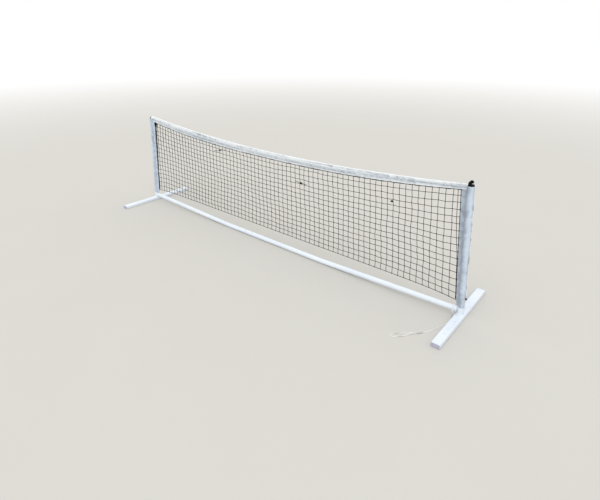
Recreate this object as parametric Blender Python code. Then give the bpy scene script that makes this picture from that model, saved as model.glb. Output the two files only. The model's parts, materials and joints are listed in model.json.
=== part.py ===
"""A low sports net on a free-standing tube frame.

Metres, +Z up. The origin is on the floor, midway between the two posts. X runs along the net from the
left post to the right one, and Y runs from the front of the feet to their back.
"""

import math

import bmesh
import bpy
import numpy as np

GAP = 0.0003  # left between pieces that touch
ROUND_SIDES = 32  # sides of the steel tubes
SMALL_SIDES = 16  # sides of small turned pieces

# Ground frame
POST_X = 1.518  # from the middle of the net to each post's axis
FOOT_LENGTH = 0.690
FOOT_WIDTH = 0.050
FOOT_HEIGHT = 0.025
FOOT_CORNER = 0.004
TUBE_WALL = 0.0015
PLUG_FLANGE = 0.003
PLUG_DEPTH = 0.016
SOCKET_RADIUS = 0.019
SOCKET_TOP = 0.072
BAR_RADIUS = 0.016
BAR_END_HEIGHT = 0.048  # axis of the crossbar where it meets the sockets
BAR_MIDDLE_HEIGHT = BAR_RADIUS + GAP  # axis of its middle tube, which rests on the floor
BAR_JOINT_X = 0.500
SPIGOT_LENGTH = 0.060
JOINER_REACH = 0.060
RIVET_SHANK = 0.0021
RIVET_X = BAR_JOINT_X - 0.030

# Posts
POST_RADIUS = 0.016
POST_TOP = 0.798
CAP_RADIUS = 0.018
CAP_FLANGE_TOP = 0.8012
CAP_EDGE = 0.0024  # radius of the flange's upper edge
CAP_SKIRT_DEPTH = 0.020
CAP_WALL = 0.002
CAP_BACK = 0.0066  # how far the dome and the finger reach to the back, in front of the head line
DOME_TOP = 0.8195  # of the left cap, which the tape passes over
RIGHT_DOME_TOP = 0.827
DOME_RADIUS = 0.0176
FINGER_TOP = 0.8335
FINGER_LENGTH = 0.0125
FINGER_FRONT = 0.0095
FINGER_LEAN = 0.0030
NOTCH_RADIUS = 0.0045
NOTCH_HEIGHT = 0.8155
NOTCH_ROOT = 0.002  # from the post's axis to the notch's inner end
LUMP_STEPS = 8

# Net
SLEEVE_BORE = 0.0183
SLEEVE_RADIUS = 0.0191
SLEEVE_BOTTOM = SOCKET_TOP + GAP
SLEEVE_TOP = 0.8014
FLANGE_WIDTH = 0.027
RIGHT_FLANGE_WIDTH = 0.0315  # at its top
RIGHT_FLANGE_FOOT_WIDTH = 0.010
FLANGE_THICKNESS = 0.0024
FLANGE_BOTTOM = SLEEVE_BOTTOM + 0.001
FLANGE_TOP = 0.770
TAPE_END_X = POST_X - 0.0262
TAPE_LOWEST_X = 0.080
TAPE_LOWEST = 0.737
TAPE_SAG = 0.036
TAPE_THICKNESS = 0.0024
TAPE_WALL = 0.0008
NET_TOP_LOW = 0.6855
NET_TOP_RISE = 0.087
NET_BOTTOM = 0.121
NET_CORNER_DROP = 0.016
NET_THICKNESS = 0.0012
NET_STATIONS = 33
EDGE_STATIONS = 13
HEAD_LINE_RADIUS = 0.0025
HEAD_LINE_DEPTH = 0.0043  # from the tape's top edge to the line's axis
EDGE_LINE_RADIUS = 0.0018
BOTTOM_LINE_RADIUS = 0.0012
NET_HALF = POST_X - SLEEVE_RADIUS - FLANGE_WIDTH - 2 * (GAP + EDGE_LINE_RADIUS)
LINE_DIRECTION = math.radians(35)  # of the head line's run down a sleeve, from outward towards the back
KEEPER_HEIGHT = 0.142
KEEPER_LENGTH = 0.010
LOCK_RADIUS = 0.0048
LOCK_LENGTH = 0.014
LOCK_HEIGHT = 0.121
LOCK_SLOPE = 0.0012
LINE_END_HEIGHT = 0.100
LINE_BEND = 0.005  # radius of the head line's turn over the sleeve's top
LINE_CROSSING = [  # towards the outside, towards the back, share of the climb to the tape's mouth
    (0.0040, 0.0106, 0.04),
    (-0.0040, 0.0108, 0.20),
    (-0.0110, 0.0104, 0.43),
    (-0.0170, 0.0076, 0.66),
    (-0.0208, 0.0038, 0.84),
    (-0.0234, 0.0012, 0.95),
]

# Loose cord
CORD_RADIUS = 0.002
HITCH_X = 1.478
HITCH_KNOT_DROP = 0.0125  # from the crossbar's axis to the hitch's knot
HITCH_KNOT_FRONT = 0.0190
HITCH_KNOT_PROFILE = [(0.0022, -0.0062), (0.0046, -0.0045), (0.0054, 0), (0.0046, 0.0045), (0.0022, 0.0062)]
LEAD_PLACES = [  # the cord's way along the floor, from the foot to the knot
    (1.4835, -0.0500),
    (1.4850, -0.0780),
    (1.4810, -0.1060),
    (1.4730, -0.1330),
    (1.4630, -0.1620),
    (1.4440, -0.2120),
    (1.4210, -0.2580),
    (1.3970, -0.2910),
]
LEAD_STEPS = [1, 2, 2, 2, 3, 3, 3, 3, 5, 5, 4, 2, 1]
LOOP_PLACES = [  # the loop's way along the floor: past the knot's middle, and to the cord's left
    (0.0420, -0.0085),
    (0.0840, -0.0120),
    (0.1080, -0.0115),
    (0.1205, 0.0000),
    (0.1100, 0.0125),
    (0.0840, 0.0155),
    (0.0420, 0.0110),
]
LOOP_STEPS = [2, 3, 4, 3, 3, 3, 3, 4, 3, 2]
KNOT_PLACE = (1.371, -0.316)
KNOT_RADIUS = 0.0052
KNOT_LENGTH = 0.013
KNOT_TAPER = 0.0006
KNOT_TURN = math.radians(46)  # of the cord through the knot, from -X towards -Y


def material(name, colour, roughness, metallic=0.0):
    made = bpy.data.materials.new(name)
    made.use_nodes = True
    shader = made.node_tree.nodes["Principled BSDF"]
    shader.inputs["Base Color"].default_value = (*colour, 1.0)
    shader.inputs["Roughness"].default_value = roughness
    shader.inputs["Metallic"].default_value = metallic
    return made


def circle(radius, sides=ROUND_SIDES, centre=(0.0, 0.0)):
    turns = [2 * math.pi * i / sides for i in range(sides)]
    return [(centre[0] + radius * math.cos(a), centre[1] + radius * math.sin(a)) for a in turns]


def rounded_rectangle(width, height, radius, corner_steps=3):
    outline = []
    for quarter, (sx, sy) in enumerate([(1, 1), (-1, 1), (-1, -1), (1, -1)]):
        cx = sx * (width / 2 - radius)
        cy = sy * (height / 2 - radius)
        for step in range(corner_steps + 1):
            a = math.radians(90 * quarter + 90 * step / corner_steps)
            outline.append((cx + radius * math.cos(a), cy + radius * math.sin(a)))
    return outline


def level(outline, height):
    return [(x, y, height) for x, y in outline]


def skinned_mesh(name, loops, ring=False, smooth=True):
    """A mesh through loops of equal length. A ring's last loop joins its first, and other ends are filled."""
    model = bmesh.new()
    rows = [[model.verts.new(point) for point in loop] for loop in loops]
    pairs = list(zip(rows, rows[1:]))
    if ring:
        pairs.append((rows[-1], rows[0]))
    for row, following in pairs:
        for i in range(len(row)):
            j = (i + 1) % len(row)
            model.faces.new((row[i], row[j], following[j], following[i]))
    if not ring:
        model.faces.new(rows[0][::-1])
        model.faces.new(rows[-1])
    bmesh.ops.recalc_face_normals(model, faces=model.faces)
    mesh = bpy.data.meshes.new(name)
    model.to_mesh(mesh)
    model.free()
    if smooth:
        mesh.shade_smooth()
        mesh.set_sharp_from_angle(angle=math.radians(35))
    return mesh


def tube_mesh(name, outer, inner, length):
    """A tube along local Z, between two outlines."""
    loops = [level(outer, 0), level(outer, length), level(inner, length), level(inner, 0)]
    return skinned_mesh(name, loops, ring=True)


def turned_mesh(name, profile, sides=SMALL_SIDES):
    """A solid of revolution about local Z, from a profile of (radius, height) with flat ends."""
    return skinned_mesh(name, [level(circle(radius, sides), height) for radius, height in profile])


def empty(name, location):
    made = bpy.data.objects.new(name, None)
    made.empty_display_size = 0.05
    made.location = location
    bpy.context.scene.collection.objects.link(made)
    return made


def placed(name, data, surface, parent, location=(0, 0, 0), rotation=(0, 0, 0)):
    """An object at a place in the world, carried by its parent empty."""
    made = bpy.data.objects.new(name, data)
    data.materials.append(surface)
    made.parent = parent
    made.location = [place - base for place, base in zip(location, parent.location)]
    made.rotation_euler = rotation
    bpy.context.scene.collection.objects.link(made)
    return made


def boolean(target, helper, operation):
    helper.hide_render = True
    helper.display_type = "WIRE"
    modifier = target.modifiers.new(f"{operation.lower()} {helper.name}", "BOOLEAN")
    modifier.operation = operation
    modifier.solver = "EXACT"
    modifier.object = helper


def smooth_route(points, steps):
    """Points on a smooth curve through the route's own points, with so many steps from each to the next."""
    points = np.array(points, float)
    lengths = np.linalg.norm(np.diff(points, axis=0), axis=1)
    slopes = np.diff(points, axis=0) / lengths[:, None]
    tangents = np.vstack([slopes[:1], slopes[:-1] + slopes[1:], slopes[-1:]])
    tangents /= np.linalg.norm(tangents, axis=1)[:, None]
    steps = [steps] * len(lengths) if isinstance(steps, int) else steps
    route = []
    for i, (length, count) in enumerate(zip(lengths, steps)):
        for t in np.arange(count) / count:
            route.append(
                (2 * t**3 - 3 * t**2 + 1) * points[i]
                + (t**3 - 2 * t**2 + t) * length * tangents[i]
                + (3 * t**2 - 2 * t**3) * points[i + 1]
                + (t**3 - t**2) * length * tangents[i + 1]
            )
    route.append(points[-1])
    return route


def rope_curve(name, route, radius):
    curve = bpy.data.curves.new(name, "CURVE")
    curve.dimensions = "3D"
    curve.bevel_depth = radius
    curve.bevel_resolution = 2
    curve.use_fill_caps = True
    spline = curve.splines.new("POLY")
    spline.points.add(len(route) - 1)
    for point, place in zip(spline.points, route):
        point.co = (*place, 1.0)
    return curve


def tape_top(x):
    return TAPE_LOWEST + TAPE_SAG * (x - TAPE_LOWEST_X) ** 2


def tape_bottom(x):
    return NET_TOP_LOW + NET_TOP_RISE * abs(x / NET_HALF) ** 2.4


def net_bottom(x):
    return NET_BOTTOM - NET_CORNER_DROP * abs(x / NET_HALF) ** 12


def stations(half):
    """Places along the net, closer together near its ends."""
    turns = np.linspace(-1, 1, NET_STATIONS)
    return [half * math.sin(math.pi / 2 * t) for t in turns]


def flange_width(side, height):
    """A sleeve flange's width. The right one narrows towards its foot."""
    if side < 0:
        return FLANGE_WIDTH
    share = (height - FLANGE_BOTTOM) / (FLANGE_TOP - FLANGE_BOTTOM)
    return RIGHT_FLANGE_FOOT_WIDTH + (RIGHT_FLANGE_WIDTH - RIGHT_FLANGE_FOOT_WIDTH) * share**0.8


def flange_heights():
    return np.linspace(FLANGE_BOTTOM, FLANGE_TOP, EDGE_STATIONS)


def side_line_x(side, height):
    """Where a side line runs, beside its flange. It is straight between the flange's own stations."""
    heights = flange_heights()
    width = np.interp(height, heights, [flange_width(side, z) for z in heights])
    return side * (POST_X - SLEEVE_RADIUS - width - GAP - EDGE_LINE_RADIUS)


def net_edge(side, height):
    return side_line_x(side, height) - side * (EDGE_LINE_RADIUS + GAP)


def sleeve_point(side, direction, radius, height):
    """A place round a post's axis. Direction 0 is outward and positive ones are towards the back."""
    x = side * (POST_X + radius * math.cos(direction))
    return (x, radius * math.sin(direction), height)


def make_foot(side, label, body, surfaces):
    outer = rounded_rectangle(FOOT_WIDTH, FOOT_HEIGHT, FOOT_CORNER)
    walls = 2 * TUBE_WALL
    inner = rounded_rectangle(FOOT_WIDTH - walls, FOOT_HEIGHT - walls, FOOT_CORNER - TUBE_WALL)
    length = FOOT_LENGTH - 2 * (PLUG_FLANGE + GAP)
    place = (side * POST_X, -length / 2, FOOT_HEIGHT / 2)
    along_y = (math.radians(-90), 0, 0)
    mesh = tube_mesh(f"{label}_foot", outer, inner, length)
    placed(f"{label}_foot", mesh, surfaces["steel"], body, place, along_y)
    for end, turn in (("front", -90), ("back", 90)):
        face = -FOOT_LENGTH / 2 if end == "front" else FOOT_LENGTH / 2
        name = f"{label}_foot_{end}_plug"
        where = (side * POST_X, face, FOOT_HEIGHT / 2)
        placed(name, plug_mesh(name), surfaces["plug"], body, where, (math.radians(turn), 0, 0))


def plug_mesh(name):
    """A moulded end plug, its face at z 0: a softened flange, and a hollow body that fits in the foot."""
    face = rounded_rectangle(FOOT_WIDTH - 0.002, FOOT_HEIGHT - 0.002, FOOT_CORNER - 0.001)
    flange = rounded_rectangle(FOOT_WIDTH, FOOT_HEIGHT, FOOT_CORNER)
    inside = 2 * (TUBE_WALL + GAP)
    body = rounded_rectangle(FOOT_WIDTH - inside, FOOT_HEIGHT - inside, FOOT_CORNER - TUBE_WALL - GAP)
    pocket = rounded_rectangle(FOOT_WIDTH - inside - 0.004, FOOT_HEIGHT - inside - 0.004, 0.001)
    loops = [
        level(face, 0),
        level(flange, 0.001),
        level(flange, PLUG_FLANGE),
        level(body, PLUG_FLANGE),
        level(body, PLUG_DEPTH),
        level(pocket, PLUG_DEPTH),
        level(pocket, PLUG_FLANGE),
    ]
    return skinned_mesh(name, loops)


def make_socket(side, label, body, surfaces):
    bore = POST_RADIUS + GAP
    height = SOCKET_TOP - FOOT_HEIGHT - GAP
    mesh = tube_mesh(f"{label}_post_socket", circle(SOCKET_RADIUS), circle(bore), height)
    where = (side * POST_X, 0, FOOT_HEIGHT + GAP)
    placed(f"{label}_post_socket", mesh, surfaces["steel"], body, where)


def bar_tilt():
    """The angle by which the crossbar's outer tubes rise from its middle one to the sockets."""
    return math.atan2(BAR_END_HEIGHT - BAR_MIDDLE_HEIGHT, POST_X - SOCKET_RADIUS - BAR_JOINT_X)


def bar_axis(side, distance):
    """A place on an outer tube's axis, so far along it from the joint with the middle tube."""
    x = BAR_JOINT_X + distance * math.cos(bar_tilt())
    return (side * x, 0, BAR_MIDDLE_HEIGHT + distance * math.sin(bar_tilt()))


def make_outer_bar(side, label, body, surfaces):
    """An outer tube of the crossbar, with the spigot that it slips over."""
    inner = BAR_RADIUS - TUBE_WALL
    whole = (POST_X - SOCKET_RADIUS - BAR_JOINT_X) / math.cos(bar_tilt())
    start = GAP + BAR_RADIUS * math.sin(bar_tilt())
    turn = (0, side * (math.radians(90) - bar_tilt()), 0)
    mesh = tube_mesh(f"crossbar_{label}", circle(BAR_RADIUS), circle(inner), whole - 2 * start)
    placed(f"crossbar_{label}", mesh, surfaces["steel"], body, bar_axis(side, start), turn)

    spigot_radius = inner - GAP
    reach = SPIGOT_LENGTH + SOCKET_RADIUS
    hollow = circle(spigot_radius - TUBE_WALL)
    spigot_mesh = tube_mesh(f"{label}_bar_spigot", circle(spigot_radius), hollow, reach)
    foot_of_spigot = bar_axis(side, whole - SPIGOT_LENGTH)
    spigot = placed(f"{label}_bar_spigot", spigot_mesh, surfaces["steel"], body, foot_of_spigot, turn)
    cutter_mesh = turned_mesh("cope", [(SOCKET_RADIUS + GAP, 0), (SOCKET_RADIUS + GAP, 0.1)], ROUND_SIDES)
    cutter = placed(f"{label}_cope_cutter", cutter_mesh, surfaces["steel"], body, (side * POST_X, 0, 0))
    boolean(spigot, cutter, "DIFFERENCE")


def joiner_mesh(name, side):
    """A ferrule that follows the slight bend between the middle tube and an outer one."""
    outer = BAR_RADIUS - TUBE_WALL - GAP
    inner = outer - TUBE_WALL
    bend = bar_tilt()
    ends = [
        ((side * (BAR_JOINT_X - JOINER_REACH), BAR_MIDDLE_HEIGHT), 0),
        ((side * BAR_JOINT_X, BAR_MIDDLE_HEIGHT), bend / 2),
        ((bar_axis(side, JOINER_REACH)[0], bar_axis(side, JOINER_REACH)[2]), bend),
    ]

    def ring_at(end, radius):
        (x, z), lean = end
        lift = [(y, up) for y, up in circle(radius)]
        return [(x - side * up * math.sin(lean), y, z + up * math.cos(lean)) for y, up in lift]

    loops = [ring_at(end, outer) for end in ends] + [ring_at(end, inner) for end in ends[::-1]]
    return skinned_mesh(name, loops, ring=True)


def rivet_mesh(name):
    """A blind rivet along local Z: its domed head outside the tube, its formed head inside the ferrule."""
    grip = 2 * TUBE_WALL + GAP
    profile = [
        (0.0012, 0.0016),
        (0.0030, 0.0012),
        (0.0040, 0.0004),
        (0.0040, GAP),
        (RIVET_SHANK, GAP),
        (RIVET_SHANK, -grip - 2 * GAP),
        (0.0032, -grip - 2 * GAP),
        (0.0032, -grip - 0.003),
        (0.0018, -grip - 0.004),
    ]
    return turned_mesh(name, profile)


def make_middle_bar(body, surfaces):
    inner = BAR_RADIUS - TUBE_WALL
    mesh = tube_mesh("crossbar_middle", circle(BAR_RADIUS), circle(inner), 2 * BAR_JOINT_X)
    where = (-BAR_JOINT_X, 0, BAR_MIDDLE_HEIGHT)
    middle = placed("crossbar_middle", mesh, surfaces["steel"], body, where, (0, math.radians(90), 0))
    for side, label in ((-1, "left"), (1, "right")):
        name = f"crossbar_{label}_joiner"
        joiner = placed(name, joiner_mesh(name, side), surfaces["bare_steel"], body)
        face = (side * RIVET_X, BAR_RADIUS, BAR_MIDDLE_HEIGHT)
        towards_back = (math.radians(-90), 0, 0)
        rivet_name = f"crossbar_{label}_rivet"
        placed(rivet_name, rivet_mesh(rivet_name), surfaces["rivet"], body, face, towards_back)
        drill_mesh = turned_mesh("drill", [(RIVET_SHANK + GAP, -0.008), (RIVET_SHANK + GAP, 0.004)])
        drill = placed(f"{label}_rivet_drill", drill_mesh, surfaces["rivet"], body, face, towards_back)
        boolean(middle, drill, "DIFFERENCE")
        boolean(joiner, drill, "DIFFERENCE")


def lump_mesh(name, side, peak, half_length, front, lean):
    """A round-topped lump on the cap, leaning outwards. Its outer half has a flat back."""
    foot = POST_TOP + 0.0015
    loops = []
    for turn in np.radians(np.linspace(0, 86, LUMP_STEPS)):
        outline = []
        for x, y in circle(math.cos(turn) ** 0.45, SMALL_SIDES):
            outward = lean * math.sin(turn) + half_length * x
            back = CAP_BACK * y if x < 0 else min(half_length * y, CAP_BACK)
            outline.append((side * outward, back if y > 0 else front * y))
        loops.append(level(outline, foot + (peak - foot) * math.sin(turn)))
    return skinned_mesh(name, loops)


def notch_mesh():
    """The cutter for the slot under the right cap's finger, open towards the outside."""
    middle = NOTCH_ROOT + NOTCH_RADIUS
    outline = [(0.03, NOTCH_HEIGHT - NOTCH_RADIUS), (0.03, NOTCH_HEIGHT + NOTCH_RADIUS)]
    for a in np.radians(np.linspace(90, 270, 9)):
        outline.append((middle + NOTCH_RADIUS * math.cos(a), NOTCH_HEIGHT + NOTCH_RADIUS * math.sin(a)))
    return skinned_mesh("notch", [[(x, y, z) for x, z in outline] for y in (-0.03, 0.03)])


def make_post(side, label, body, surfaces):
    inner = POST_RADIUS - TUBE_WALL
    foot_of_post = FOOT_HEIGHT + GAP
    mesh = tube_mesh(f"{label}_post", circle(POST_RADIUS), circle(inner), POST_TOP - foot_of_post)
    placed(f"{label}_post", mesh, surfaces["steel"], body, (side * POST_X, 0, foot_of_post))

    skirt = inner - GAP
    profile = [
        (skirt - CAP_WALL, POST_TOP - CAP_WALL),
        (skirt - CAP_WALL, POST_TOP - CAP_SKIRT_DEPTH),
        (skirt, POST_TOP - CAP_SKIRT_DEPTH),
        (skirt, POST_TOP + GAP),
        (CAP_RADIUS, POST_TOP + GAP),
        (CAP_RADIUS, CAP_FLANGE_TOP - CAP_EDGE),
    ]
    for degrees in (22.5, 45, 67.5, 90):
        out = CAP_RADIUS - CAP_EDGE + CAP_EDGE * math.cos(math.radians(degrees))
        profile.append((out, CAP_FLANGE_TOP - CAP_EDGE + CAP_EDGE * math.sin(math.radians(degrees))))
    axis = (side * POST_X, 0, 0)
    cap = placed(f"{label}_post_cap", turned_mesh("cap", profile, ROUND_SIDES), surfaces["black"], body, axis)
    dome_top = DOME_TOP if label == "left" else RIGHT_DOME_TOP
    helpers = [("dome", lump_mesh("dome", side, dome_top, DOME_RADIUS, DOME_RADIUS, 0), "UNION")]
    if label == "right":
        finger_mesh = lump_mesh("finger", side, FINGER_TOP, FINGER_LENGTH, FINGER_FRONT, FINGER_LEAN)
        helpers += [("finger", finger_mesh, "UNION"), ("notch", notch_mesh(), "DIFFERENCE")]
    for name, mesh, operation in helpers:
        boolean(cap, placed(f"{label}_{name}", mesh, surfaces["black"], body, axis), operation)


def make_sleeve(side, label, body, surfaces):
    """The fabric sleeve round a post, with its two layers sewn together into a flange towards the net."""
    height = SLEEVE_TOP - SLEEVE_BOTTOM
    mesh = tube_mesh(f"{label}_sleeve", circle(SLEEVE_RADIUS), circle(SLEEVE_BORE), height)
    sleeve = placed(f"{label}_sleeve", mesh, surfaces["fabric"], body, (side * POST_X, 0, SLEEVE_BOTTOM))
    root = (SLEEVE_RADIUS + SLEEVE_BORE) / 2
    loops = []
    for height in flange_heights():
        width = SLEEVE_RADIUS + flange_width(side, height) - root
        outline = rounded_rectangle(width, FLANGE_THICKNESS, FLANGE_THICKNESS / 3)
        middle = side * (POST_X - root - width / 2)
        loops.append([(middle + x, y, height) for x, y in outline])
    flange = placed(f"{label}_flange", skinned_mesh("flange", loops), surfaces["fabric"], body)
    boolean(sleeve, flange, "UNION")


def tape_section(x, radius, bottom):
    """An outline of the tape at x: a round top about the head line, and a flat tail to its bottom edge."""
    axis = tape_top(x) - HEAD_LINE_DEPTH
    half = TAPE_THICKNESS / 2
    outline = []
    for degrees in (-40, -10, 20, 55, 90, 125, 160, 190, 220):
        a = math.radians(degrees)
        outline.append((x, radius * math.cos(a), axis + radius * math.sin(a)))
    if bottom is None:
        turns = np.radians((245, 270, 295))
        tail = [(radius * math.cos(a), axis + radius * math.sin(a)) for a in turns]
    else:
        tail = [(-half, bottom), (0, bottom - 0.0004), (half, bottom)]
    return outline + [(x, y, z) for y, z in tail]


def make_tape(body, surfaces):
    places = stations(TAPE_END_X)
    outside = [tape_section(x, HEAD_LINE_DEPTH, tape_bottom(x)) for x in places]
    inside = [tape_section(x, HEAD_LINE_DEPTH - TAPE_WALL, None) for x in places[::-1]]
    mesh = skinned_mesh("head_tape", outside + inside, ring=True)
    placed("head_tape", mesh, surfaces["fabric"], body)


def net_across(share, height):
    """A place on the net, from -1 at its left edge to 1 at its right one."""
    left = net_edge(-1, height)
    right = net_edge(1, height)
    return (left + right + share * (right - left)) / 2


def make_net(body, surfaces):
    """The netting as one thin sheet, and the dark lines along its sides and bottom."""
    foot_of_net = net_bottom(NET_HALF)
    points = []
    bottom = []
    for share in stations(1.0):
        x = net_across(share, foot_of_net)
        bottom.append((x, 0, net_bottom(x)))
        low = net_bottom(x) + BOTTOM_LINE_RADIUS + GAP
        high = tape_bottom(net_across(share, FLANGE_TOP)) - 2 * GAP - 0.0004
        heights = [low, *[z for z in flange_heights() if 0.125 < z < 0.66], high]
        points += [(net_across(share, z), 0, z) for z in heights]
    rows = len(heights)
    corners = [i * rows + k for i in range(NET_STATIONS - 1) for k in range(rows - 1)]
    sheet = bpy.data.meshes.new("net_mesh")
    sheet.from_pydata(points, [], [(c, c + rows, c + rows + 1, c + 1) for c in corners])
    netting = placed("net_mesh", sheet, surfaces["twine"], body)
    solid = netting.modifiers.new("thickness", "SOLIDIFY")
    solid.thickness = NET_THICKNESS
    solid.offset = 0
    placed("bottom_line", rope_curve("bottom_line", bottom, BOTTOM_LINE_RADIUS), surfaces["edge_line"], body)

    for side, label, end in ((-1, "left", bottom[0]), (1, "right", bottom[-1])):
        low = end[2] - BOTTOM_LINE_RADIUS
        high = tape_bottom(NET_HALF) - 0.002
        heights = [low, *[z for z in flange_heights() if low + 0.005 < z < high - 0.005], high]
        route = [(side_line_x(side, z), 0, z) for z in heights]
        line = rope_curve(f"{label}_side_line", route, EDGE_LINE_RADIUS)
        placed(f"{label}_side_line", line, surfaces["edge_line"], body)


def head_line_end(side):
    """The head line's route up from the sleeve's foot, over the cap behind its dome, to the tape's mouth."""
    run = SLEEVE_RADIUS + 2 * GAP + HEAD_LINE_RADIUS
    keeper = SLEEVE_RADIUS + GAP + LOCK_RADIUS
    top_run = run + 2 * GAP
    over = SLEEVE_TOP + 3 * GAP + HEAD_LINE_RADIUS
    stops = [
        (keeper, LINE_END_HEIGHT),
        (keeper, LOCK_HEIGHT),
        (keeper, KEEPER_HEIGHT),
        (keeper - 0.0002, KEEPER_HEIGHT + 0.012),
        (run + 0.0003, KEEPER_HEIGHT + 0.060),
        (run, KEEPER_HEIGHT + 0.080),
        (run, 0.500),
        (run, over - LINE_BEND - 0.040),
        (top_run, over - LINE_BEND - 0.010),
    ]
    climb = [sleeve_point(side, LINE_DIRECTION, radius, height) for radius, height in stops]
    for degrees in (0, 30, 60, 90):
        a = math.radians(degrees)
        radius = top_run - LINE_BEND + LINE_BEND * math.cos(a)
        climb.append(sleeve_point(side, LINE_DIRECTION, radius, over - LINE_BEND + LINE_BEND * math.sin(a)))
    rise = tape_top(side * TAPE_END_X) - HEAD_LINE_DEPTH - over
    across = [(side * (POST_X + out), back, over + rise * share) for out, back, share in LINE_CROSSING]
    return climb + across


def make_head_line(body, surfaces):
    left = head_line_end(-1)
    right = head_line_end(1)
    middle = [(x, 0, tape_top(x) - HEAD_LINE_DEPTH) for x in stations(TAPE_END_X)]
    ends = smooth_route(left + middle[:2], 2)[:-1]
    starts = smooth_route(middle[-2:] + right[::-1], 2)[1:]
    route = ends + middle[1:-1] + starts
    placed("head_line", rope_curve("head_line", route, HEAD_LINE_RADIUS), surfaces["white_cord"], body)


def make_line_ends(side, label, body, surfaces):
    """The webbing keeper that a line end passes through, and the cord lock below it."""
    out = SLEEVE_RADIUS + GAP + LOCK_RADIUS
    bore = HEAD_LINE_RADIUS + GAP
    outside = circle(LOCK_RADIUS - 0.0002, SMALL_SIDES)
    ring = tube_mesh("keeper", outside, circle(bore, SMALL_SIDES), KEEPER_LENGTH)
    where = sleeve_point(side, LINE_DIRECTION, out, KEEPER_HEIGHT - KEEPER_LENGTH / 2)
    placed(f"{label}_keeper", ring, surfaces["fabric"], body, where)
    half = LOCK_LENGTH / 2
    profile = [(bore, -half), (LOCK_RADIUS - LOCK_SLOPE, -half), (LOCK_RADIUS, LOCK_SLOPE - half)]
    profile += [(radius, -height) for radius, height in profile[::-1]]
    loops = [level(circle(radius, SMALL_SIDES), height) for radius, height in profile]
    lock = skinned_mesh("lock", loops, ring=True)
    where = sleeve_point(side, LINE_DIRECTION, out, LOCK_HEIGHT)
    placed(f"{label}_cord_lock", lock, surfaces["black"], body, where)


def make_hitch(body, surfaces):
    """Two turns of cord round the crossbar's end, with a knot at the front."""
    bore = BAR_RADIUS + GAP
    thick = 2 * CORD_RADIUS
    valley = bore + 0.7 * thick
    bumps = [(bore, -thick), (valley, -thick), (bore + thick, -thick / 2), (valley, 0)]
    bumps += [(bore + thick, thick / 2), (valley, thick), (bore, thick)]
    rings = [level(circle(radius), height) for radius, height in bumps]
    turn = (0, math.radians(90) - bar_tilt(), 0)
    mesh = skinned_mesh("cord_hitch", rings, ring=True)
    hitch = placed("cord_hitch", mesh, surfaces["white_cord"], body, hitch_axis(), turn)
    x, y, z = hitch_axis()
    place = (x, y - HITCH_KNOT_FRONT, z - HITCH_KNOT_DROP)
    knot_mesh = turned_mesh("hitch_knot", HITCH_KNOT_PROFILE)
    knot = placed("hitch_knot", knot_mesh, surfaces["white_cord"], body, place)
    boolean(hitch, knot, "UNION")


def hitch_axis():
    """The place on the crossbar's axis that the hitch goes round."""
    return bar_axis(1, (HITCH_X - BAR_JOINT_X) / math.cos(bar_tilt()))


def by_knot(out, sideways, height):
    """A place by the loop's knot, so far along the cord past its middle and so far to its left."""
    x, y = KNOT_PLACE
    along = (-math.cos(KNOT_TURN), -math.sin(KNOT_TURN))
    return (x + out * along[0] - sideways * along[1], y + out * along[1] + sideways * along[0], height)


def make_loose_cord(body, surfaces):
    """The cord from the hitch along the floor, the knot near its end, and the loop that the knot closes."""
    x, y, z = hitch_axis()
    y -= HITCH_KNOT_FRONT
    floor = CORD_RADIUS + 0.0001
    knot_height = KNOT_RADIUS + 0.0002
    reach = KNOT_LENGTH / 2 + 2 * GAP
    apart = CORD_RADIUS + GAP
    under_hitch = z - HITCH_KNOT_DROP + HITCH_KNOT_PROFILE[0][1] - GAP
    lead = [
        (x, y, under_hitch),
        (x + 0.0004, y - 0.0010, under_hitch - 0.0090),
        (x + 0.0014, y - 0.0060, floor + 0.0065),
        (x + 0.0030, y - 0.0150, floor + 0.0010),
        *[(*place, floor) for place in LEAD_PLACES],
        by_knot(-reach - 0.010, 0, knot_height - 0.0012),
        by_knot(-reach, 0, knot_height),
    ]
    cord = rope_curve("tie_cord", smooth_route(lead, LEAD_STEPS), CORD_RADIUS)
    placed("tie_cord", cord, surfaces["white_cord"], body)

    loop = [
        by_knot(reach, -apart, knot_height),
        by_knot(reach + 0.012, -apart - 0.002, floor + 0.0006),
        *[by_knot(out, sideways, floor) for out, sideways in LOOP_PLACES],
        by_knot(reach + 0.012, apart + 0.002, floor + 0.0006),
        by_knot(reach, apart, knot_height),
    ]
    bight = rope_curve("tie_cord_loop", smooth_route(loop, LOOP_STEPS), CORD_RADIUS)
    placed("tie_cord_loop", bight, surfaces["white_cord"], body)

    half = KNOT_LENGTH / 2
    flat = KNOT_RADIUS - KNOT_TAPER
    profile = [(flat, -half), (KNOT_RADIUS, -half / 2), (KNOT_RADIUS, half / 2), (flat, half)]
    turn = (0, math.radians(90), math.pi + KNOT_TURN)
    place = (*KNOT_PLACE, knot_height)
    placed("tie_knot", turned_mesh("tie_knot", profile), surfaces["white_cord"], body, place, turn)


def clear_scene():
    for old in list(bpy.data.objects):
        bpy.data.objects.remove(old, do_unlink=True)


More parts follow.
